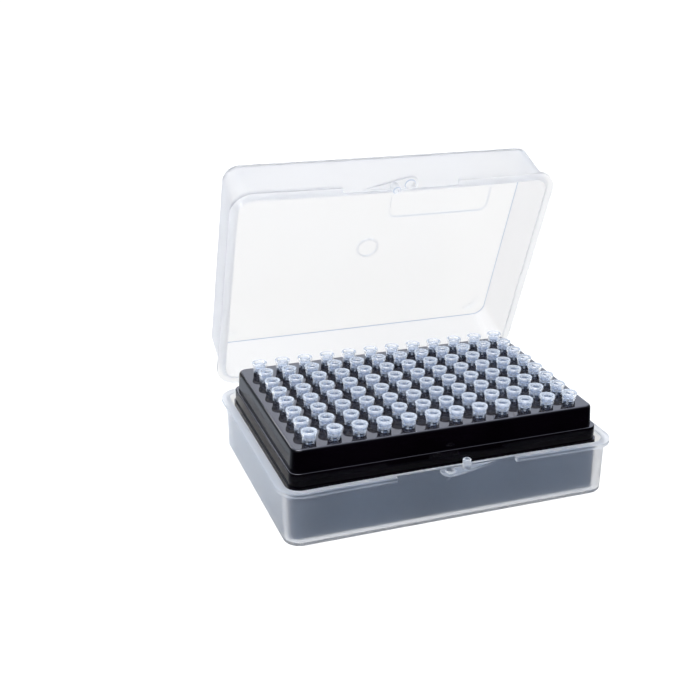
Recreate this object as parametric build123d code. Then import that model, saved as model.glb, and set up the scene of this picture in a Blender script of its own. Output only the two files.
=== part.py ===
"""Hinged box of pipette tips: a clamshell base and lid, a stepped rack and twelve columns of tips.

Millimetres. The origin is on the underside of the base, below the middle of the grid of tips.
+X runs along the twelve columns, +Y to the hinge at the back, +Z up. The lid stands part open.
"""
from build123d import *
import math
import os

# --- Grid of tips ---------------------------------------------------------------------------
columns = 12
rows = 8
pitch = 9.0

# --- One tip, radii from its mouth down to its point -------------------------------------------
tip_length = 32.0
tip_stand = 4.1              # height of the rim above the deck that carries the tip
socket_radius = 1.78         # bore at the mouth
socket_depth = 12.0
step_radius = 1.2            # bore where the socket ends and the long cone starts
tip_wall = 0.35
foot_reach = 0.32            # how far the neck and its feet stand out from the body
foot_height = 1.2            # free height of the feet under the neck
foot_width = 0.75
foot_count = 6
rim_reach = 0.4              # how far the rim stands out from the neck
rim_height = 0.8             # straight edge of the rim
rim_slope = 1.0              # height of the rim's sloping underside, down to the neck
rim_round = 0.3
mouth_flare = 0.27
mouth_depth = 0.5
point_bore = 0.25
point_wall = 0.22

# --- Rack: three tiers under a flat deck ----------------------------------------------------------
deck_margin_x = 7.3          # from the outer column of tips to the edge of the deck
deck_margin_y = 5.7
deck_corner = 3.2
deck_round = 1.4
deck_rise = 7.7              # height of the top tier
top_draft = 0.45
ledge_x = 0.9                # how far the ledge stands out from the top tier
ledge_y = 1.6
ledge_height = 5.0
ledge_round = 0.4
skirt_step = 0.6
skirt_draft = 0.15
rack_wall = 1.5
hole_clearance = 0.1         # radial, round the body of a tip at the deck
tip_end_clearance = 3.8      # from the point of a tip to the floor of the base

# --- Shells of the base and the lid ------------------------------------------------------------------
wall = 1.3
floor = 1.2
wall_draft = 0.4             # how far each wall leans out from floor to rim
rack_gap_x = 0.8             # from the rack's foot to the wall
rack_gap_y = 2.5
headroom = 3.8               # from the tips to the closed lid
corner_rim = 6.5
corner_floor = 6.0
bow_rim = 0.8                # how far the front wall is drawn in at the middle of its rim
bow_floor = 0.1
edge_round = 1.3
inner_round = 0.35
rim_gap = 0.1                # between the two rims when the box is shut
flange_reach = 1.85
flange_thick = 1.3
notch_half = 22.4            # half the width of the gap in the front flange
notch_round = 0.6

# --- Latch: the same tab on both shells, turned end for end --------------------------------------------
latch_half = 3.1             # from the middle of the box to the hole and to the pin
latch_offset = 1.5           # from the wall to the hole and to the pin
latch_land = 0.95            # width of the tab outside the lip of its hole
latch_end = 15.1             # where the tab runs out into the wall
latch_thick = 0.9
latch_drop = 0.5             # from the mating plane to the face of the tab
peg_radius = 1.5
peg_height = 3.5
peg_bevel = 0.3
peg_bore = 0.75
peg_bore_depth = 2.4
peg_clearance = 0.15
lip_width = 0.5
lip_height = 0.35

# --- Hinge: two bars on the base, each held by a snap hook on the lid ------------------------------------
hinge_half = 38.0            # from the middle of the box to each hinge
hinge_offset = 1.85          # from the flange to the axis
bar_radius = 1.1
bar_clearance = 0.05
knuckle_radius = 2.2
hook_width = 7.0
ear_width = 2.0
side_clearance = 0.3
swing_clearance = 0.3
hook_mouth = 1.8
lid_angle = 67.7             # how far the lid stands open

# --- Top panel of the lid -----------------------------------------------------------------------------
label_length = 41.5
label_width = 15.8
label_centre_x = 27.45
label_centre_y = -22.5
label_corner = 3.0
label_height = 0.3
label_slope = 0.45           # width of the label's sloping edge
gate_ring = 4.6
gate_ring_depth = 0.4        # and half the width of its round groove
gate_dot = 0.8
gate_dot_height = 0.3
stack_rib_inset_x = 4.5      # from the edge of the panel to the outer side of a rib
stack_rib_inset_y = 4.0
stack_rib_radius = 6.0
stack_rib_width = 1.3
stack_rib_height = 0.8

# --- Worked-out heights --------------------------------------------------------------------------------
tip_top = floor + tip_end_clearance + tip_length
deck_top = tip_top - tip_stand
ledge_top = deck_top - deck_rise
skirt_top = ledge_top - ledge_height
mating_z = (tip_top + headroom + floor) / 2
rim_z = mating_z - rim_gap / 2

# --- Worked-out plan sizes, each from the middle of the box ------------------------------------------------
grid_x = (columns - 1) * pitch / 2
grid_y = (rows - 1) * pitch / 2
deck_x = grid_x + deck_margin_x
deck_y = grid_y + deck_margin_y
ledge_half_x = deck_x + top_draft + ledge_x
ledge_half_y = deck_y + top_draft + ledge_y
foot_x = ledge_half_x + skirt_step
foot_y = ledge_half_y + skirt_step
floor_x = foot_x + rack_gap_x + wall
floor_y = foot_y + rack_gap_y + wall
rim_x = floor_x + wall_draft
rim_y = floor_y + wall_draft
hinge_y = rim_y + flange_reach + hinge_offset
front_face_y = -(rim_y - bow_rim)

# --- Worked-out fits -----------------------------------------------------------------------------------------
body_radius = socket_radius + tip_wall
neck_radius = body_radius + foot_reach
rim_radius = neck_radius + rim_reach
mouth_radius = socket_radius + mouth_flare
hole_radius = body_radius + hole_clearance
peg_hole_radius = peg_radius + peg_clearance
latch_round = peg_hole_radius + lip_width + latch_land


def outline(half_x, half_y, corner, bow=0.0):
    """Return a rounded rectangle whose front edge is drawn in by bow at its middle."""
    with BuildSketch() as plan:
        with BuildLine():
            Polyline((-half_x, -half_y), (-half_x, half_y), (half_x, half_y), (half_x, -half_y))
            if bow > 0:
                ThreePointArc((half_x, -half_y), (0, bow - half_y), (-half_x, -half_y))
            else:
                Line((half_x, -half_y), (-half_x, -half_y))
        make_face()
        fillet(plan.vertices(), corner)
    return plan.sketch


def tapered(lower, upper, z_lower, z_upper):
    """Return the solid between one outline and another above it."""
    return loft([Pos(0, 0, z_lower) * lower, Pos(0, 0, z_upper) * upper], ruled=True)


def edges_at(solid, z):
    """Return the edges of a solid that lie flat at height z."""
    return [edge for edge in solid.edges() if all(abs(v.Z - z) < 1e-4 for v in edge.vertices())]


def shell_body():
    """Return the shared moulding: floor, leaning walls and rim flange, with its gap at the front."""
    outer_floor = outline(floor_x, floor_y, corner_floor, bow_floor)
    outer_rim = outline(rim_x, rim_y, corner_rim, bow_rim)
    outside = tapered(outer_floor, outer_rim, 0, rim_z)
    outside = fillet(edges_at(outside, 0), edge_round)

    flange_plan = outline(rim_x + flange_reach, rim_y + flange_reach, corner_rim + flange_reach, bow_rim)
    flange_plan -= Pos(0, -rim_y) * Rectangle(2 * notch_half, 4 * flange_reach)
    ends = [v for v in flange_plan.vertices() if abs(abs(v.X) - notch_half) < 1e-4 and v.Y < -rim_y]
    flange_plan = fillet(ends, notch_round)
    flange = Pos(0, 0, rim_z - flange_thick) * extrude(flange_plan, flange_thick)

    inner_floor = outline(floor_x - wall, floor_y - wall, corner_floor - wall, bow_floor)
    inner_rim = outline(rim_x - wall, rim_y - wall, corner_rim - wall, bow_rim)
    inside = tapered(inner_floor, inner_rim, floor, rim_z)
    inside = fillet(edges_at(inside, floor), inner_round)
    return outside + flange - inside


def latch_tab(peg_side):
    """Return the latch tab, its peg on the side given (+1 or -1), and the hole to cut for the other peg.

    The tab's flat face is at latch_drop below the mating plane.
    """
    hole_x = -peg_side * latch_half
    peg_x = peg_side * latch_half
    boss_y = front_face_y - latch_offset
    tab_top = mating_z - latch_drop

    span_x = latch_end + latch_half
    reach = math.hypot(span_x, latch_offset)
    slope = math.asin(latch_round / reach) + math.atan2(latch_offset, span_x)
    touch_x = hole_x + peg_side * latch_round * math.sin(slope)
    touch_y = boss_y - latch_round * math.cos(slope)
    root_y = front_face_y + wall / 2
    with BuildSketch() as plan:
        with BuildLine():
            Polyline(
                (touch_x, touch_y),
                (peg_side * latch_end, front_face_y),
                (peg_side * latch_end, root_y),
                (hole_x - peg_side * latch_round, root_y),
                (hole_x - peg_side * latch_round, boss_y),
                (hole_x, boss_y),
                close=True,
            )
        make_face()
        with Locations((hole_x, boss_y)):
            Circle(latch_round)
    tab = Pos(0, 0, tab_top - latch_thick) * extrude(plan.sketch, latch_thick)

    lip = Cone(
        peg_hole_radius + lip_width,
        peg_hole_radius + lip_width / 3,
        lip_height,
        align=(Align.CENTER, Align.CENTER, Align.MIN),
    )
    peg = Cylinder(peg_radius, peg_height, align=(Align.CENTER, Align.CENTER, Align.MIN))
    peg = chamfer(edges_at(peg, peg_height), peg_bevel)
    peg -= Pos(0, 0, peg_height - peg_bore_depth) * Cylinder(
        peg_bore, peg_bore_depth, align=(Align.CENTER, Align.CENTER, Align.MIN)
    )
    hole_bottom = tab_top - latch_thick - peg_height
    hole = Cylinder(peg_hole_radius, rim_z - hole_bottom, align=(Align.CENTER, Align.CENTER, Align.MIN))
    added = tab + Pos(hole_x, boss_y, tab_top) * lip + Pos(peg_x, boss_y, tab_top) * peg
    return added, Pos(hole_x, boss_y, hole_bottom) * hole


def across(length, radius, x):
    """Return a rod of the given length along X, centred at x on the hinge axis."""
    return Pos(x, hinge_y, mating_z) * Rot(0, 90, 0) * Cylinder(radius, length)


def bar_mount(x):
    """Return one hinge bar with the two ears that carry it."""
    solid = across(hook_width + 2 * side_clearance + 2 * ear_width, bar_radius, x)
    arm_depth = hinge_offset + flange_reach / 2
    for side in (-1, 1):
        ear_x = x + side * (hook_width / 2 + side_clearance + ear_width / 2)
        solid += across(ear_width, knuckle_radius, ear_x)
        solid += Pos(ear_x, hinge_y - arm_depth / 2, rim_z - flange_thick / 2) * Box(
            ear_width, arm_depth, flange_thick
        )
    return solid


def hook(x):
    """Return one snap hook of the lid, in the shut position: a split ring on an arm."""
    arm_depth = hinge_offset + flange_reach / 2
    solid = across(hook_width, knuckle_radius, x)
    solid += Pos(x, hinge_y - arm_depth / 2, 2 * mating_z - rim_z + flange_thick / 2) * Box(
        hook_width, arm_depth, flange_thick
    )
    solid -= across(hook_width, bar_radius + bar_clearance, x)
    solid -= Pos(x, hinge_y + knuckle_radius / 2, mating_z) * Box(hook_width, knuckle_radius, hook_mouth)
    return solid


def base_tray():
    """Return the base: the shared moulding with its latch and the two hinge bars."""
    added, hole = latch_tab(1)
    tray = shell_body() + added - hole
    for x in (-hinge_half, hinge_half):
        tray -= across(hook_width + 2 * side_clearance, knuckle_radius + swing_clearance, x)
        tray += bar_mount(x)
    return tray


def panel_details():
    """Return what stands on the lid's panel and what is cut into it, at the shut height."""
    panel = 2 * mating_z
    label_top = RectangleRounded(label_length, label_width, label_corner)
    label_foot = RectangleRounded(
        label_length + 2 * label_slope, label_width + 2 * label_slope, label_corner + label_slope
    )
    raised = Pos(label_centre_x, label_centre_y) * tapered(label_foot, label_top, panel, panel + label_height)
    raised += Pos(0, 0, panel - gate_ring_depth) * Cylinder(
        gate_dot, gate_ring_depth + gate_dot_height, align=(Align.CENTER, Align.CENTER, Align.MIN)
    )
    rib_x = floor_x - stack_rib_inset_x - stack_rib_radius
    rib_y = floor_y - stack_rib_inset_y - stack_rib_radius
    for turn, (x, y) in enumerate(((rib_x, rib_y), (-rib_x, rib_y), (-rib_x, -rib_y), (rib_x, -rib_y))):
        ring = Circle(stack_rib_radius) - Circle(stack_rib_radius - stack_rib_width)
        quarter = ring & Pos(stack_rib_radius / 2, stack_rib_radius / 2) * Rectangle(
            stack_rib_radius, stack_rib_radius
        )
        raised += Pos(x, y, panel) * Rot(0, 0, 90 * turn) * extrude(quarter, stack_rib_height)
    return raised, Pos(0, 0, panel) * Torus(gate_ring - gate_ring_depth, gate_ring_depth)


def lid():
    """Return the lid, turned about the hinge to where it stands."""
    added, hole = latch_tab(-1)
    middle = Plane.XY.offset(mating_z)
    shut = mirror(shell_body() + added - hole, about=middle)
    raised, cut = panel_details()
    shut += raised
    shut -= cut
    ear_half = ear_width + side_clearance
    for x in (-hinge_half, hinge_half):
        for side in (-1, 1):
            ear_x = x + side * (hook_width / 2 + ear_half / 2 + side_clearance / 2)
            shut -= across(ear_half, knuckle_radius + swing_clearance, ear_x)
        shut += hook(x)
    return shut.rotate(Axis((0, hinge_y, mating_z), (-1, 0, 0)), lid_angle)


def tip_rack():
    """Return the rack: a hollow stepped moulding with a hole for each tip."""
    top = outline(deck_x, deck_y, deck_corner)
    top_foot = outline(deck_x + top_draft, deck_y + top_draft, deck_corner + top_draft)
    ledge_corner = deck_corner + top_draft
    middle = outline(ledge_half_x, ledge_half_y, ledge_corner)
    skirt_head = outline(foot_x - skirt_draft, foot_y - skirt_draft, ledge_corner)
    skirt_foot = outline(foot_x, foot_y, ledge_corner)

    tier = fillet(edges_at(tapered(top_foot, top, ledge_top, deck_top), deck_top), deck_round)
    collar = Pos(0, 0, skirt_top) * extrude(middle, ledge_height)
    collar = fillet(edges_at(collar, ledge_top), ledge_round)
    rack = tapered(skirt_foot, skirt_head, floor, skirt_top) + collar + tier

    thin_corner = ledge_corner - rack_wall
    upper_room = outline(deck_x - rack_wall, deck_y - rack_wall, thin_corner)
    lower_room = outline(ledge_half_x - rack_wall, ledge_half_y - rack_wall, thin_corner)
    rack -= Pos(0, 0, floor) * extrude(upper_room, deck_top - rack_wall - floor)
    rack -= Pos(0, 0, floor) * extrude(lower_room, ledge_top - rack_wall - floor)

    drill = Cylinder(hole_radius, 2 * rack_wall)
    return rack - [Pos(x, y, deck_top) * drill for x in column_places() for y in row_places()]


def column_places():
    """Return the X of each column."""
    return [index * pitch - grid_x for index in range(columns)]


def row_places():
    """Return the Y of each row."""
    return [index * pitch - grid_y for index in range(rows)]


def tip():
    """Return one tip, its rim at z = 0 and its point down: a turned form with feet under its neck."""
    profile = make_face(
        Polyline(
            (mouth_radius, 0),
            (rim_radius, 0),
            (rim_radius, -rim_height),
            (neck_radius, -rim_height - rim_slope),
            (neck_radius, -tip_stand),
            (body_radius, -tip_stand),
            (step_radius + tip_wall, -socket_depth),
            (point_bore + point_wall, -tip_length),
            (point_bore, -tip_length),
            (step_radius, -socket_depth),
            (socket_radius, -mouth_depth),
            close=True,
        )
    )
    turned = revolve(Plane.XZ * profile, Axis.Z)
    rim_edges = [edge for edge in turned.edges().filter_by(GeomType.CIRCLE) if edge.radius > rim_radius - 1e-6]
    turned = fillet(rim_edges, rim_round)
    between_feet = Circle(rim_radius) - Circle(body_radius)
    for index in range(foot_count // 2):
        between_feet -= Rot(0, 0, index * 360 / foot_count) * Rectangle(3 * rim_radius, foot_width)
    return turned - Pos(0, 0, -tip_stand) * extrude(between_feet, foot_height)


def tips_in_column(x, one_tip):
    """Return the eight tips of one column as separate solids."""
    return Compound([Pos(x, y, tip_top) * one_tip.solid() for y in row_places()])


os.makedirs("parts", exist_ok=True)
export_step(base_tray(), "parts/base_tray.step")
export_step(lid(), "parts/lid.step")
export_step(tip_rack(), "parts/tip_rack.step")
single_tip = tip()
for number, place in enumerate(column_places(), start=1):
    export_step(tips_in_column(place, single_tip), f"parts/tips_column_{number:02d}.step")
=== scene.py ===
"""Looks of the box of pipette tips: its moulded finishes, the tips, the floor, the light and the camera.

Everything is in metres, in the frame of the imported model: the origin is on the underside of the
base below the middle of the grid of tips, +X runs along the columns, +Y to the hinge, +Z up.
"""
import logging
import math
import random
from dataclasses import dataclass, field
from enum import Enum
from typing import NamedTuple

import bpy
from mathutils import Euler, Matrix, Vector


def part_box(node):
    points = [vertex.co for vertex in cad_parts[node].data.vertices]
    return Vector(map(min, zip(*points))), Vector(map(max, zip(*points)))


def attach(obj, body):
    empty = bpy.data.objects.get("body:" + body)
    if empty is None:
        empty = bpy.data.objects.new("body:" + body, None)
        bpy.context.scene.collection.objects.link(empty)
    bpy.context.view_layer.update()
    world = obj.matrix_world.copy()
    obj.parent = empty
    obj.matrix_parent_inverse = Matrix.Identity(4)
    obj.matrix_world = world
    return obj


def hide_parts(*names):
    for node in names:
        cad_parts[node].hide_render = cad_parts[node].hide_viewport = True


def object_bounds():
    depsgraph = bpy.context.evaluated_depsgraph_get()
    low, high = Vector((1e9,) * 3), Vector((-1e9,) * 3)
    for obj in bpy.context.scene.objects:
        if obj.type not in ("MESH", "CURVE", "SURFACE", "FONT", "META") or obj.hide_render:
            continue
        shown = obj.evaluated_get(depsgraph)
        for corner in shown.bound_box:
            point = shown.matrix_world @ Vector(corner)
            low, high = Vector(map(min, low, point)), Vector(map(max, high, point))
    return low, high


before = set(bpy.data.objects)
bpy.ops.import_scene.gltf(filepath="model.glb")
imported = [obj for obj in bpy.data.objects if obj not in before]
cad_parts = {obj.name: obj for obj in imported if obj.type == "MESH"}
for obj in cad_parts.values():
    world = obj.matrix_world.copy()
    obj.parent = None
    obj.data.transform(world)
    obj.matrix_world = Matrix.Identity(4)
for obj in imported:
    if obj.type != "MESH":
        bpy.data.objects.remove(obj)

CAD_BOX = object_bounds()
MM = 0.001

log = logging.getLogger("tip_box")

Colour = tuple[float, float, float]
Place = tuple[float, float, float]
Socket = bpy.types.NodeSocket


class Moulding(Enum):
    """The CAD nodes of the three mouldings."""

    BASE = "base_tray"
    LID = "lid"
    RACK = "tip_rack"


class Ray(Enum):
    """The kinds of ray that a shader can tell apart."""

    CAMERA = "Is Camera Ray"
    GLOSSY = "Is Glossy Ray"
    TRANSMITTED = "Is Transmission Ray"
    SHADOW = "Is Shadow Ray"
    DIFFUSE = "Is Diffuse Ray"


class Reckoning(Enum):
    """Arithmetic on number sockets."""

    SIZE = "ABSOLUTE"
    LARGER = "MAXIMUM"
    PRODUCT = "MULTIPLY"
    PRODUCT_PLUS = "MULTIPLY_ADD"
    DIFFERENCE = "SUBTRACT"
    IS_LESS = "LESS_THAN"


class Ramp(Enum):
    """How a number rises over a span."""

    SMOOTH = "SMOOTHSTEP"
    STRAIGHT = "LINEAR"


class Span(NamedTuple):
    """A stretch of numbers."""

    start: float
    end: float


NOISE_SPAN = Span(0.3, 0.7)
WHOLE = Span(0.0, 1.0)
WHITE: Colour = (1.0, 1.0, 1.0)


@dataclass(frozen=True)
class Pattern:
    """A smooth noise in object space.

    Args:
        size: The size of its patches, in metres.
        detail: How many finer octaves it has.
        stretch: How many times finer it is along X, Y and Z.
    """

    size: float
    detail: float
    stretch: Place = (1.0, 1.0, 1.0)


@dataclass(frozen=True)
class Relief:
    """A fine relief of a surface.

    Args:
        pattern: The noise that it follows.
        height: The height of the noise's peaks, in metres.
        strength: How much of it shows, from 0 to 1.
    """

    pattern: Pattern
    height: float
    strength: float


class NodeBench:
    """The node tree of a material or the world, with short calls for the nodes that finishes share."""

    def __init__(self, owner: bpy.types.Material | bpy.types.World) -> None:
        """Clear the owner's node tree.

        Args:
            owner: The material or the world that the nodes are for.
        """
        owner.use_nodes = True
        self.owner = owner
        self.tree = owner.node_tree
        self.tree.nodes.clear()

    def add(self, kind: str, **settings: object) -> bpy.types.Node:
        """Add a node and set its properties.

        Args:
            kind: The node's type.
            settings: Properties of the node, by name.

        Returns:
            The new node.
        """
        node = self.tree.nodes.new(kind)
        for key, value in settings.items():
            setattr(node, key, value)
        return node

    def feed(self, target: Socket, value: object) -> None:
        """Link a socket, or set its own value.

        Args:
            target: The input socket.
            value: An output socket, a number or a colour.
        """
        if isinstance(value, Socket):
            self.tree.links.new(value, target)
        elif isinstance(value, tuple) and len(value) == 3 and target.type == "RGBA":
            target.default_value = (*value, 1.0)
        else:
            target.default_value = value

    def shader(self, kind: str, **values: object) -> Socket:
        """Add a node with its inputs set or linked.

        Args:
            kind: The node's type.
            values: The inputs, by name with _ for spaces.

        Returns:
            The node's first output.
        """
        node = self.add(kind)
        for key, value in values.items():
            self.feed(node.inputs[key.replace("_", " ")], value)
        return node.outputs[0]

    def where(self, kind: str) -> Socket:
        """Return the texture coordinate of that kind."""
        return self.add("ShaderNodeTexCoord").outputs[kind]

    def ray(self, kind: Ray) -> Socket:
        """Return 1 for rays of that kind and 0 for the others."""
        return self.add("ShaderNodeLightPath").outputs[kind.value]

    def parts(self, vector: Socket) -> bpy.types.bpy_prop_collection:
        """Return the X, Y and Z of a vector, by name."""
        return self.shader("ShaderNodeSeparateXYZ", Vector=vector).node.outputs

    def reckon(self, operation: Reckoning, *values: object) -> Socket:
        """Reckon with numbers.

        Args:
            operation: What is done.
            values: The numbers or number sockets that it is done to.

        Returns:
            The result.
        """
        node = self.add("ShaderNodeMath", operation=operation.value)
        for place, value in zip(node.inputs, values):
            self.feed(place, value)
        return node.outputs[0]

    def noise(self, pattern: Pattern) -> Socket:
        """Return a noise from about 0.3 to 0.7.

        Args:
            pattern: Its size, detail and stretch.

        Returns:
            The noise as a number socket.
        """
        mapping = self.add("ShaderNodeMapping")
        self.feed(mapping.inputs["Vector"], self.where("Object"))
        self.feed(mapping.inputs["Scale"], pattern.stretch)
        return self.shader(
            "ShaderNodeTexNoise", Vector=mapping.outputs[0], Scale=1.0 / pattern.size, Detail=pattern.detail
        )

    def spread(self, value: Socket, low: float, high: float, over: Span = NOISE_SPAN,
               ramp: Ramp = Ramp.SMOOTH) -> Socket:
        """Map a number from a span to low..high, and hold it there outside the span.

        Args:
            value: The number.
            low: What it becomes at the start of the span.
            high: What it becomes at the end of the span.
            over: The span.
            ramp: How it rises between them.

        Returns:
            The mapped number.
        """
        node = self.add("ShaderNodeMapRange", interpolation_type=ramp.value)
        self.feed(node.inputs["Value"], value)
        self.feed(node.inputs["From Min"], over.start)
        self.feed(node.inputs["From Max"], over.end)
        self.feed(node.inputs["To Min"], low)
        self.feed(node.inputs["To Max"], high)
        return node.outputs["Result"]

    def between(self, share: Socket, first: float | Socket, second: float | Socket) -> Socket:
        """Blend two numbers.

        Args:
            share: How much of the second there is, from 0 to 1.
            first: The number at 0.
            second: The number at 1.

        Returns:
            The number between them.
        """
        node = self.add("ShaderNodeMix")
        for place, value in ((0, share), (2, first), (3, second)):
            self.feed(node.inputs[place], value)
        return node.outputs[0]

    def blend(self, share: Socket, first: Colour | Socket, second: Colour | Socket) -> Socket:
        """Blend two colours.

        Args:
            share: How much of the second there is, from 0 to 1.
            first: The colour at 0.
            second: The colour at 1.

        Returns:
            The colour between them.
        """
        node = self.add("ShaderNodeMix", data_type="RGBA")
        for place, value in ((0, share), (6, first), (7, second)):
            self.feed(node.inputs[place], value)
        return node.outputs[2]

    def slopes(self, axis: Vector, off_walls: Span, off_faces: Span) -> Socket:
        """Tell the steps and rounded edges of a moulding from its broad faces and its walls.

        Args:
            axis: The direction that the broad faces look along.
            off_walls: How squarely a surface looks along the axis where the walls end.
            off_faces: How squarely it does where the broad faces begin.

        Returns:
            1 on the steps and edges, 0 on the faces and walls.
        """
        lean = self.add("ShaderNodeVectorMath", operation="DOT_PRODUCT")
        self.feed(lean.inputs[0], self.where("Normal"))
        self.feed(lean.inputs[1], axis)
        squarely = self.reckon(Reckoning.SIZE, lean.outputs["Value"])
        beyond_walls = self.spread(squarely, 0.0, 1.0, off_walls)
        before_faces = self.spread(squarely, 1.0, 0.0, off_faces)
        return self.reckon(Reckoning.PRODUCT, beyond_walls, before_faces)

    def raised(self, relief: Relief, under: Socket | None = None) -> Socket:
        """Raise a relief on the surface.

        Args:
            relief: The relief.
            under: The normal of a coarser relief that this one lies on, if there is one.

        Returns:
            The surface's normal.
        """
        node = self.add("ShaderNodeBump")
        self.feed(node.inputs["Strength"], relief.strength)
        self.feed(node.inputs["Distance"], relief.height)
        self.feed(node.inputs["Height"], self.noise(relief.pattern))
        if under is not None:
            self.feed(node.inputs["Normal"], under)
        return node.outputs[0]

    def mix(self, share: float | Socket, first: Socket, second: Socket) -> Socket:
        """Mix two shaders.

        Args:
            share: How much of the second there is, from 0 to 1.
            first: The shader at 0.
            second: The shader at 1.

        Returns:
            The mixed shader.
        """
        node = self.add("ShaderNodeMixShader")
        for place, value in zip(node.inputs, (share, first, second)):
            self.feed(place, value)
        return node.outputs[0]

    def together(self, first: Socket, second: Socket) -> Socket:
        """Add the light of two shaders.

        Args:
            first: The one shader.
            second: The other shader.

        Returns:
            The shader that gives both.
        """
        node = self.add("ShaderNodeAddShader")
        self.feed(node.inputs[0], first)
        self.feed(node.inputs[1], second)
        return node.outputs[0]

    def lets_lamps_through(self, shader: Socket, tint: Colour) -> Socket:
        """Make a clear stand-in for lamp rays and for light scattered inside the box.

        Args:
            shader: The shader for all other rays.
            tint: What is left of the light that the stand-in lets through.

        Returns:
            The shader with its stand-in.
        """
        either = self.reckon(Reckoning.LARGER, self.ray(Ray.SHADOW), self.ray(Ray.DIFFUSE))
        return self.mix(either, shader, self.shader("ShaderNodeBsdfTransparent", Color=tint))

    def finish(self, shader: Socket, output: str = "ShaderNodeOutputMaterial") -> bpy.types.ID:
        """Send the shader to the output.

        Args:
            shader: The finished shader.
            output: The output node's type.

        Returns:
            The material or the world.
        """
        self.tree.links.new(shader, self.add(output).inputs["Surface"])
        return self.owner


@dataclass(frozen=True)
class Haze:
    """The fine haze in clear plastic: it scatters some light back, some on, and lets the rest past.

    Args:
        back: The colour of the light scattered back.
        onward: The colour of the light scattered on through the surface.
        split: How much of the haze scatters onward, from 0 to 1.
        low: The haze's share of the surface where it is clearest.
        high: Its share where it is milkiest.
    """

    back: Colour
    onward: Colour
    split: float
    low: float
    high: float

    def over(self, bench: NodeBench, clear: Socket, share: Socket, refraction: float,
             roughness: float | Socket, normal: Socket) -> Socket:
        """Lay the haze over a clear shader.

        Args:
            bench: The material's nodes.
            clear: The clear shader.
            share: How much haze there is.
            refraction: The plastic's index of refraction.
            roughness: The plastic's roughness.
            normal: The surface's normal.

        Returns:
            The hazy shader.
        """
        back = bench.shader("ShaderNodeBsdfDiffuse", Color=self.back, Normal=normal)
        onward = bench.shader("ShaderNodeBsdfTranslucent", Color=self.onward, Normal=normal)
        rest = tuple(
            1.0 - (1.0 - self.split) * returned - self.split * passed
            for returned, passed in zip(self.back, self.onward)
        )
        past = bench.shader(
            "ShaderNodeBsdfGlass", Color=rest, Roughness=roughness, IOR=refraction, Normal=normal
        )
        milky = bench.together(bench.mix(self.split, back, onward), past)
        return bench.mix(share, clear, milky)


@dataclass(frozen=True)
class ShellPlastic:
    """Natural polypropylene, clear with a faint blue haze and the soft waviness of a thin moulding, with
    painted shade along its steps and rounded edges.
    """

    name: str
    roughness: Span
    tint: Colour = (0.986, 0.987, 0.992)
    tint_thick: Colour = (0.978, 0.979, 0.985)   # where the plastic flowed thicker
    tint_edge_and_shade: Colour = (0.978, 0.979, 0.985)    # on steps and rounded edges: partly thicker plastic, partly painted shade of dark edge lines
    tint_across: Colour = (0.978, 0.979, 0.985)  # where a wall is seen edge-on
    haze: Haze = Haze((0.42, 0.62, 1.0), (0.985, 0.96, 0.95), split=0.6, low=0.12, high=0.16)
    refraction: float = 1.49
    flow: Pattern = Pattern(0.03, 3.0, (1.0, 1.0, 0.4))
    ripple: Relief = Relief(Pattern(0.012, 1.0), height=0.00004, strength=0.5)
    off_walls: Span = Span(0.15, 0.45)           # how squarely a slope looks along the axis, from here
    off_faces: Span = Span(0.90, 0.985)          # to here
    seen_across: Span = Span(0.2, 0.8)           # from nearly square on to nearly edge-on
    shadow_tint: Colour = (0.90, 0.915, 0.935)

    def material(self, axis: Vector) -> bpy.types.Material:
        """Make the material of one moulding.

        Args:
            axis: The direction that the moulding's broad faces look along.

        Returns:
            The material.
        """
        bench = NodeBench(bpy.data.materials.new(self.name))
        flow = bench.noise(self.flow)
        normal = bench.raised(self.ripple)
        roughness = bench.spread(flow, *self.roughness)
        across = bench.spread(bench.add("ShaderNodeLayerWeight").outputs["Facing"], *WHOLE, self.seen_across)
        broad = bench.blend(bench.spread(flow, *WHOLE), self.tint, self.tint_thick)
        # the mask of steps and rounded edges, which take the painted edge shade
        edges = bench.slopes(axis, self.off_walls, self.off_faces)
        clear = bench.shader(
            "ShaderNodeBsdfPrincipled",
            Base_Color=bench.blend(edges, bench.blend(across, broad, self.tint_across), self.tint_edge_and_shade),
            Roughness=roughness,
            IOR=self.refraction,
            Transmission_Weight=1.0,
            Normal=normal,
        )
        share = bench.spread(flow, self.haze.low, self.haze.high)
        hazy = self.haze.over(bench, clear, share, self.refraction, roughness, normal)
        return bench.finish(bench.lets_lamps_through(hazy, self.shadow_tint))


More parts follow.
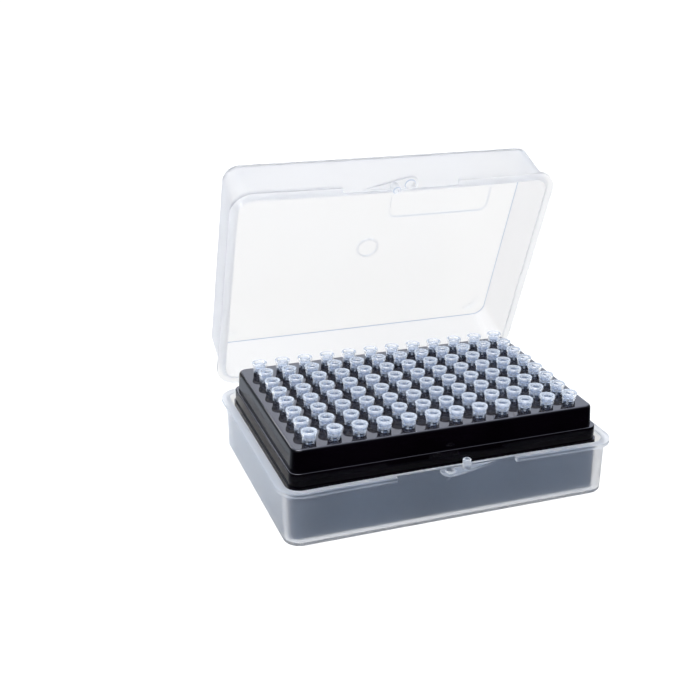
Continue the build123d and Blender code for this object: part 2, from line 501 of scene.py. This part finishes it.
@dataclass(frozen=True)
class RackPlastic:
    """Black plastic, polished on its flat tops and satin on its sides."""

    black: Colour = (0.0004, 0.0002, 0.0006)
    black_worn: Colour = (0.0010, 0.0005, 0.0014)
    polished: Span = Span(0.03, 0.06)
    top_refraction: float = 2.7
    satin: Span = Span(0.05, 0.09)
    side_gloss: float = 0.06
    top_sheen: Colour = (0.93, 0.90, 1.0)
    side_sheen: Colour = (0.82, 0.90, 1.0)
    cloud: Pattern = Pattern(0.02, 4.0)
    wave: Relief = Relief(Pattern(0.009, 1.0), height=0.00003, strength=0.6)
    grain: Relief = Relief(Pattern(0.0004, 2.0), height=0.00003, strength=0.015)
    turns_up: Span = Span(0.72, 0.98)            # how much a surface looks up, from side to top

    def material(self) -> bpy.types.Material:
        """Make the material.

        Returns:
            The material, polished where the surface looks up.
        """
        bench = NodeBench(bpy.data.materials.new("rack_plastic"))
        cloud = bench.noise(self.cloud)
        colour = bench.blend(bench.spread(cloud, *WHOLE), self.black, self.black_worn)
        wavy = bench.raised(self.wave)
        top = bench.shader(
            "ShaderNodeBsdfPrincipled",
            Base_Color=colour,
            Roughness=bench.spread(cloud, *self.polished),
            IOR=self.top_refraction,
            Specular_Tint=self.top_sheen,
            Normal=wavy,
        )
        side = bench.shader(
            "ShaderNodeBsdfPrincipled",
            Base_Color=colour,
            Roughness=bench.spread(cloud, *self.satin),
            Specular_IOR_Level=self.side_gloss,
            Specular_Tint=self.side_sheen,
            Normal=bench.raised(self.grain, wavy),
        )
        facing = bench.parts(bench.add("ShaderNodeNewGeometry").outputs["Normal"])
        return bench.finish(bench.mix(bench.spread(facing["Z"], *WHOLE, self.turns_up), side, top))


@dataclass(frozen=True)
class TipPlastic:
    """Clear polypropylene of the tips, glossy and milkier where it is thick, with painted dark blue shade in
    the bore and between the feet and painted dark reflections in the deck.
    """

    tint: Colour = (0.985, 0.988, 0.995)
    tint_deep: Colour = (0.96, 0.975, 0.99)
    # painted shade: dark blue for the bore and the windows between the feet
    painted_shade_tint: Colour = (0.62, 0.71, 0.88)
    thin: Span = Span(0.0, 0.5)                  # of the thickness value that the mesh carries: below it the tint turns to the painted dark blue shade
    haze: Haze = Haze((0.72, 0.81, 0.97), (0.85, 0.92, 1.0), split=0.0, low=0.02, high=0.29)
    refraction: float = 1.5
    roughness: Span = Span(0.02, 0.06)
    cloud: Pattern = Pattern(0.003, 2.0)
    grain: Relief = Relief(Pattern(0.0003, 1.0), height=0.00001, strength=0.2)
    shadow_tint: Colour = (0.86, 0.90, 0.95)
    painted_reflection_share: float = 0.8                    # how much of the tips' mirror image in the deck is painted dark
    # painted reflection: the dark colour given to the tips' mirror image in the deck
    painted_reflection_dark: Colour = (0.02, 0.015, 0.02)
    outside_depth: float = 0.5                   # less than one passage through plastic

    def material(self) -> bpy.types.Material:
        """Make the material.

        Returns:
            The material, which reads the thickness and painted shade that the tip's mesh carries.
        """
        bench = NodeBench(bpy.data.materials.new("tip_plastic"))
        cloud = bench.noise(self.cloud)
        normal = bench.raised(self.grain)
        thickness = bench.add("ShaderNodeAttribute", attribute_name="thickness").outputs["Fac"]
        full = bench.blend(bench.spread(cloud, *WHOLE), self.tint, self.tint_deep)
        # where the mesh's value is low, in the bore and between the feet, the tint is painted dark blue
        # shade
        clear = bench.shader(
            "ShaderNodeBsdfPrincipled",
            Base_Color=bench.blend(bench.spread(thickness, *WHOLE, self.thin), self.painted_shade_tint, full),
            Roughness=bench.spread(cloud, *self.roughness),
            IOR=self.refraction,
            Transmission_Weight=1.0,
            Normal=normal,
        )
        share = bench.spread(thickness, self.haze.low, self.haze.high, WHOLE)
        hazy = self.haze.over(bench, clear, share, self.refraction, self.roughness.end, normal)
        # the tips' reflections in the deck are painted dark
        return bench.finish(bench.lets_lamps_through(self.paint_dark_reflections(bench, hazy), self.shadow_tint))

    def paint_dark_reflections(self, bench: NodeBench, shader: Socket) -> Socket:
        """Paint the tips dark where the polished deck mirrors them: a painted dark reflection.

        Args:
            bench: The material's nodes.
            shader: The shader as it is seen directly.

        Returns:
            The shader, with its mirror image painted dark.
        """
        depth = bench.add("ShaderNodeLightPath").outputs["Transmission Depth"]
        outside = bench.reckon(Reckoning.IS_LESS, depth, self.outside_depth)
        mirrored = bench.reckon(Reckoning.PRODUCT, bench.ray(Ray.GLOSSY), outside)
        share = bench.reckon(Reckoning.PRODUCT, mirrored, self.painted_reflection_share)
        return bench.mix(share, shader, bench.shader("ShaderNodeBsdfDiffuse", Color=self.painted_reflection_dark))


def dress(piece: bpy.types.Object, material: bpy.types.Material) -> None:
    """Give every material slot of a piece the same material.

    Args:
        piece: The piece.
        material: Its finish.
    """
    if not piece.material_slots:
        piece.data.materials.append(material)
    for place in piece.material_slots:
        place.material = material


def broadest(piece: bpy.types.Object) -> Vector:
    """Find the direction that most of a piece's surface looks along.

    Args:
        piece: The piece, with its place in its mesh.

    Returns:
        The direction, of length 1.
    """
    areas: dict[tuple[float, ...], float] = {}
    for face in piece.data.polygons:
        facing = tuple(round(share, 2) for share in face.normal)
        areas[facing] = areas.get(facing, 0.0) + face.area
    return Vector(max(areas, key=areas.get)).normalized()


@dataclass(frozen=True)
class Shells:
    """The base and the lid, both clear mouldings: the lid is clearer and bends light less."""

    base: ShellPlastic = ShellPlastic("base_plastic", Span(0.275, 0.30))
    lid: ShellPlastic = ShellPlastic(
        "lid_plastic",
        Span(0.275, 0.28),
        tint=WHITE,
        tint_thick=(0.992, 0.994, 1.0),
        # painted shade: the lid's steps and rounded edges drawn as dark blue lines
        tint_edge_and_shade=(0.48, 0.55, 0.69),
        tint_across=(0.90, 0.885, 0.885),
        haze=Haze((0.40, 0.44, 0.60), (0.92, 0.94, 0.99), split=0.6, low=0.11, high=0.14),
        refraction=1.31,
    )

    def build(self) -> list[bpy.types.Object]:
        """Dress both mouldings.

        Returns:
            The mouldings.
        """
        pieces = []
        for moulding, plastic in ((Moulding.BASE, self.base), (Moulding.LID, self.lid)):
            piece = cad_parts[moulding.value]
            dress(piece, plastic.material(broadest(piece)))
            pieces.append(piece)
        return pieces


@dataclass(frozen=True)
class Rack:
    """The stepped rack."""

    plastic: RackPlastic = RackPlastic()

    def build(self) -> list[bpy.types.Object]:
        """Dress the rack and return it."""
        dress(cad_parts[Moulding.RACK.value], self.plastic.material())
        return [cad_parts[Moulding.RACK.value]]


@dataclass(frozen=True)
class Ring:
    """One ring of a turned form.

    Args:
        radius: From the axis.
        depth: Below the mouth.
        thickness: How thick the plastic is there, from 0 to 1, which its milkiness and tint follow; low
            values in the bore and between the feet are painted shade.
        notched: True if the ring is drawn in between the feet.
    """

    radius: float
    depth: float
    thickness: float
    notched: bool = False


@dataclass
class Tips:
    """The columns of tips: one tip is lathed ring by ring, given its feet, and copied to every hole."""

    prefix: str = "tips_column"
    new_prefix: str = "column_of_tips"
    body: str = "base"
    slot: str = "clear_tip"
    rows: int = 8
    around: int = 48                     # vertices in a ring
    feet: int = 6
    foot_vertices: int = 3               # of those in a ring
    stand: float = 4.1 * MM              # from the mouth down to the soles of the feet
    socket_radius: float = 1.78 * MM     # of the bore, just below its mouth
    socket_depth: float = 12.0 * MM
    step_radius: float = 1.2 * MM        # of the bore, at the socket's end
    wall: float = 0.35 * MM
    foot_reach: float = 0.32 * MM        # out from the body
    foot_height: float = 1.2 * MM
    rim_edge: float = 0.8 * MM           # height of the rim's upright edge
    rim_slope: float = 1.0 * MM          # height of the slope from the rim to the neck
    rim_round: float = 0.3 * MM
    mouth_flare: float = 0.27 * MM
    mouth_depth: float = 0.5 * MM
    milky_mouth_depth: float = 0.7 * MM
    # where the painted shade in the bore is darkest
    painted_bore_shade_depth: float = 1.0 * MM
    neck_draft: float = 0.05 * MM
    # The milky bands round the top of the neck: how many half roundings down, and how thick it looks.
    bands: tuple[tuple[int, float], ...] = ((1, 0.5), (2, 1.0), (3, 1.0), (4, 0.5), (5, 0.7))
    point_bore: float = 0.25 * MM
    point_wall: float = 0.22 * MM
    merge_gap: float = 0.001 * MM
    sharp_edge: float = 38.0             # degrees, past which an edge isn't smoothed
    turn_spread: float = 14.0            # degrees either way
    seed: int = 7
    plastic: TipPlastic = TipPlastic()
    names: list[str] = field(init=False)

    def __post_init__(self) -> None:
        """Read the tips' places and overall size from the model."""
        self.names = sorted(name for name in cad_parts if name.startswith(self.prefix))
        low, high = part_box(self.names[0])
        self.rim_radius = (high.x - low.x) / 2
        self.length = high.z - low.z
        self.top = high.z
        self.first_row = low.y + self.rim_radius
        self.row_pitch = (high.y - low.y - 2 * self.rim_radius) / (self.rows - 1)
        self.body_radius = self.socket_radius + self.wall
        self.neck_radius = self.body_radius + self.foot_reach
        self.neck_low_radius = self.neck_radius - self.neck_draft

    def rings(self) -> list[Ring]:
        """List the rings of the tip from its mouth down the outside to the point and back up the bore.

        Returns:
            The rings. The last one closes on the first.
        """
        neck_top = self.rim_edge + self.rim_slope
        foot_top = self.stand - self.foot_height
        half = self.rim_round / 2
        mouth = Ring(self.socket_radius + self.mouth_flare, 0.0, 0.9)
        return [
            mouth,
            Ring(self.rim_radius - self.rim_round, 0.0, 1.0),
            Ring(self.rim_radius - half / 2, half / 2, 1.0),
            Ring(self.rim_radius, self.rim_round, 1.0),
            Ring(self.rim_radius, self.rim_edge - half, 1.0),
            Ring(self.rim_radius - half / 2, self.rim_edge + half, 0.5),
            Ring(self.neck_radius + half / 4, neck_top - half, 0.4),
            *[Ring(self.neck_radius, neck_top + number * half, share) for number, share in self.bands],
            Ring(self.neck_low_radius, foot_top - half, 0.8),
            Ring(self.neck_low_radius, foot_top + half, 0.6, notched=True),
            Ring(self.neck_low_radius, self.stand, 0.8, notched=True),
            Ring(self.body_radius, self.stand, 0.15),
            Ring(self.body_radius - half / 4, self.stand + self.foot_height, 0.15),
            Ring(self.step_radius + self.wall, self.socket_depth, 0.3),
            Ring(self.point_bore + self.point_wall, self.length, 0.2),
            Ring(self.point_bore, self.length, 0.2),
            Ring(self.step_radius, self.socket_depth, 0.3),
            # painted shade: the bore is set to 0 here, so below the mouth it shows dark blue
            Ring(self.socket_radius, self.painted_bore_shade_depth, 0.0),
            Ring(self.socket_radius, self.milky_mouth_depth, 0.9),
            Ring(self.socket_radius, self.mouth_depth, 1.0),
            mouth,
        ]

    def lathed(self) -> bpy.types.Object:
        """Turn the form of one tip.

        Returns:
            The tip without its feet, its mouth at the origin and its point down.
        """
        rings = self.rings()
        bpy.ops.object.select_all(action="DESELECT")
        bpy.ops.mesh.primitive_circle_add(
            vertices=self.around, radius=rings[0].radius, fill_type="NOTHING", location=(0, 0, 0)
        )
        tip = bpy.context.object
        bpy.ops.object.mode_set(mode="EDIT")
        bpy.ops.mesh.select_all(action="SELECT")
        for ring, following in zip(rings, rings[1:]):
            drop = ring.depth - following.depth
            bpy.ops.mesh.extrude_edges_move(TRANSFORM_OT_translate={"value": (0, 0, drop)})
            grow = following.radius / ring.radius
            bpy.ops.transform.resize(value=(grow, grow, 1), center_override=(0, 0, 0))
        bpy.ops.object.mode_set(mode="OBJECT")
        thickness = tip.data.attributes.new("thickness", "FLOAT", "POINT")
        shares = [ring.thickness for ring in rings for _ in range(self.around)]
        thickness.data.foreach_set("value", shares)
        return tip

    def notch(self, tip: bpy.types.Object) -> None:
        """Draw the neck in to the body between the feet, on the rings that are notched, paint shade into the
        windows between the feet, and close the form.

        Args:
            tip: The turned form, with its vertices still in the order of the rings.
        """
        step = 2 * math.pi / self.feet
        half_foot = self.foot_vertices * math.pi / self.around
        notched = [number for number, ring in enumerate(self.rings()) if ring.notched]
        thickness = tip.data.attributes["thickness"].data
        for vertex in tip.data.vertices:
            angle = math.atan2(vertex.co.y, vertex.co.x) % step
            between = half_foot < angle < step - half_foot
            vertex.select = vertex.index // self.around in notched and between
            if vertex.select:
                # painted shade: the windows between the feet get the dark blue tint and no haze
                thickness[vertex.index].value = 0.0
        for part in (*tip.data.edges, *tip.data.polygons):
            part.select = False
        bpy.ops.object.mode_set(mode="EDIT")
        bpy.ops.mesh.select_mode(type="VERT")
        draw_in = self.body_radius / self.neck_low_radius
        bpy.ops.transform.resize(value=(draw_in, draw_in, 1), center_override=(0, 0, 0))
        bpy.ops.mesh.select_all(action="SELECT")
        bpy.ops.mesh.remove_doubles(threshold=self.merge_gap)
        bpy.ops.mesh.normals_make_consistent(inside=False)
        bpy.ops.object.mode_set(mode="OBJECT")
        bpy.ops.object.shade_smooth_by_angle(angle=math.radians(self.sharp_edge))

    def column(self, tip: bpy.types.Object, node: str, chance: random.Random) -> bpy.types.Object:
        """Copy the tip into every hole of one column and join the copies.

        Args:
            tip: The finished tip.
            node: The CAD node that the column stands for.
            chance: The source of each tip's small turn about its own axis.

        Returns:
            The column as one piece.
        """
        low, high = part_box(node)
        bpy.ops.object.select_all(action="DESELECT")
        for row in range(self.rows):
            copy = bpy.data.objects.new(f"tip_{row}", tip.data.copy())
            turn = Matrix.Rotation(math.radians(chance.uniform(-self.turn_spread, self.turn_spread)), 4, "Z")
            place = Vector(((low.x + high.x) / 2, self.first_row + row * self.row_pitch, self.top))
            copy.data.transform(Matrix.Translation(place) @ turn)
            bpy.context.scene.collection.objects.link(copy)
            copy.select_set(True)
            bpy.context.view_layer.objects.active = copy
        bpy.ops.object.join()
        column = bpy.context.object
        column.name = node.replace(self.prefix, self.new_prefix)
        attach(column, self.body)
        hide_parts(node)
        return column

    def build(self) -> list[bpy.types.Object]:
        """Model one tip and fill every column with it.

        Returns:
            The columns.
        """
        tip = self.lathed()
        self.notch(tip)
        dress(tip, self.plastic.material())
        chance = random.Random(self.seed)
        columns = [self.column(tip, name, chance) for name in self.names]
        bpy.data.objects.remove(tip)
        return columns


@dataclass(frozen=True)
class Floor:
    """The pale floor: white with the object's shadow, and dark towards the front in mirrors."""

    radius: float = 3.0
    segments: int = 64
    gap: float = 0.00005
    colour: Colour = (0.80, 0.80, 0.80)           # for the light that it scatters on the box
    colour_in_mirrors: Colour = (0.02, 0.02, 0.02)
    shaded: Colour = (0.40, 0.40, 0.40)           # the part of what is seen that takes the shadow
    glow: float = 0.66                            # the part that doesn't
    glow_in_mirrors: Colour = (0.34, 0.46, 0.66)
    glow_through: float = 0.95                    # seen through plastic
    dark_to_bright: Span = Span(-0.06, 0.02)      # along Y, in mirrors

    def build(self) -> list[bpy.types.Object]:
        """Lay the floor just under the base.

        Returns:
            The floor.
        """
        bpy.ops.mesh.primitive_circle_add(
            vertices=self.segments, radius=self.radius, fill_type="NGON",
            location=(0, 0, CAD_BOX[0][2] - self.gap),
        )
        floor = bpy.context.object
        floor.name = "floor"
        dress(floor, self.material())
        return [floor]

    def material(self) -> bpy.types.Material:
        """Make the floor's material.

        Returns:
            The material: its own colour for light that it scatters, and a glow where it is seen.
        """
        bench = NodeBench(bpy.data.materials.new("floor_white"))
        glossy = bench.ray(Ray.GLOSSY)
        bright = bench.spread(bench.parts(bench.where("Object"))["Y"], *WHOLE, self.dark_to_bright)
        mirrored = bench.reckon(Reckoning.PRODUCT, glossy, bright)
        seen = bench.reckon(Reckoning.LARGER, bench.ray(Ray.CAMERA), mirrored)
        unmirrored = bench.reckon(Reckoning.DIFFERENCE, 1.0, glossy)
        plain = bench.shader(
            "ShaderNodeBsdfDiffuse", Color=bench.blend(unmirrored, self.colour_in_mirrors, self.colour)
        )
        white = bench.shader(
            "ShaderNodeEmission", Color=bench.blend(glossy, WHITE, self.glow_in_mirrors), Strength=self.glow
        )
        shown = bench.together(bench.shader("ShaderNodeBsdfDiffuse", Color=self.shaded), white)
        through = bench.shader("ShaderNodeEmission", Strength=self.glow_through)
        outside = bench.mix(seen, plain, shown)
        return bench.finish(bench.mix(bench.ray(Ray.TRANSMITTED), outside, through))


@dataclass(frozen=True)
class Room:
    """The white room, which is darker towards the front where something mirrors it."""

    upward_share: float = 0.9                 # how much up counts as back
    mirrored: Span = Span(0.03, 1.0)          # strength in mirrors, front and back
    mirrored_over: Span = Span(-0.6, 0.5)
    light: Span = Span(0.75, 1.15)            # strength as a light, front and back
    light_over: Span = Span(-0.8, 0.8)
    mirror_tint: Colour = (0.82, 0.90, 1.0)

    def build(self) -> None:
        """Make the room the scene's world."""
        bench = NodeBench(bpy.data.worlds.new("room"))
        way = bench.parts(bench.where("Generated"))
        lean = bench.reckon(Reckoning.PRODUCT_PLUS, way["Z"], self.upward_share, way["Y"])
        glossy = bench.ray(Ray.GLOSSY)
        light = bench.spread(lean, *self.light, self.light_over, Ramp.STRAIGHT)
        level = bench.between(glossy, light, bench.spread(lean, *self.mirrored, self.mirrored_over))
        seen = bench.reckon(Reckoning.LARGER, bench.ray(Ray.CAMERA), bench.ray(Ray.TRANSMITTED))
        shade = bench.shader(
            "ShaderNodeBackground",
            Color=bench.blend(glossy, WHITE, self.mirror_tint),
            Strength=bench.reckon(Reckoning.LARGER, seen, level),
        )
        bpy.context.scene.world = bench.finish(shade, "ShaderNodeOutputWorld")


@dataclass(frozen=True)
class Lamp:
    """A round soft lamp that points at the middle of the box.

    Args:
        name: Its name.
        place: Its middle.
        size: Its diameter.
        power: In watts.
    """

    name: str
    place: Place
    size: float
    power: float

    def build(self) -> None:
        """Hang the lamp."""
        light = bpy.data.lights.new(self.name, "AREA")
        light.shape = "DISK"
        light.size = self.size
        light.energy = self.power
        lamp = bpy.data.objects.new(self.name, light)
        aim = (Vector(CAD_BOX[0]) + Vector(CAD_BOX[1])) / 2
        lamp.location = self.place
        lamp.rotation_euler = (aim - Vector(self.place)).to_track_quat("-Z", "Y").to_euler()
        bpy.context.scene.collection.objects.link(lamp)


@dataclass(frozen=True)
class Camera:
    """The camera, in front of the box, to its left and above. Its angles are in degrees."""

    eye: Place = (-0.1516, -0.3637, 0.2049)
    bearing: float = -22.40
    elevation: float = 21.84
    roll: float = 1.47
    lens: float = 59.10
    shift_x: float = -0.0821
    shift_y: float = 0.0023
    nearest: float = 0.01

    def build(self) -> None:
        """Place the camera."""
        data = bpy.data.cameras.new("camera")
        data.lens = self.lens
        data.shift_x = self.shift_x
        data.shift_y = self.shift_y
        data.clip_start = self.nearest
        camera = bpy.data.objects.new("camera", data)
        turn = Euler((math.radians(90 - self.elevation), 0, math.radians(self.bearing))).to_matrix()
        turn = turn @ Matrix.Rotation(math.radians(self.roll), 3, "Z")
        camera.matrix_world = Matrix.Translation(self.eye) @ turn.to_4x4()
        bpy.context.scene.collection.objects.link(camera)
        bpy.context.scene.camera = camera


@dataclass(frozen=True)
class Studio:
    """The floor, the room, the lamps and the camera."""

    floor: Floor = Floor()
    room: Room = Room()
    lamps: tuple[Lamp, ...] = (
        Lamp("key_lamp", place=(-0.3, -0.30, 0.9), size=1.0, power=11.0),
        Lamp("fill_lamp", place=(-0.7, -0.35, 0.5), size=0.8, power=0.3),
        Lamp("edge_lamp", place=(-0.45, 0.95, 0.43), size=0.08, power=0.2),
    )
    camera: Camera = Camera()

    def build(self) -> list[bpy.types.Object]:
        """Set up the whole studio.

        Returns:
            The floor.
        """
        bpy.context.scene.view_settings.view_transform = "Standard"
        pieces = self.floor.build()
        self.room.build()
        for lamp in self.lamps:
            lamp.build()
        self.camera.build()
        return pieces


def main() -> None:
    """Build every sub-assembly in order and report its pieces."""
    logging.basicConfig(level=logging.INFO, format="%(name)s: %(message)s")
    for part in (Shells(), Rack(), Tips(), Studio()):
        for piece in part.build():
            log.info("%s: %s with %d faces", type(part).__name__, piece.name, len(piece.data.polygons))


if __name__ == "__main__":
    main()
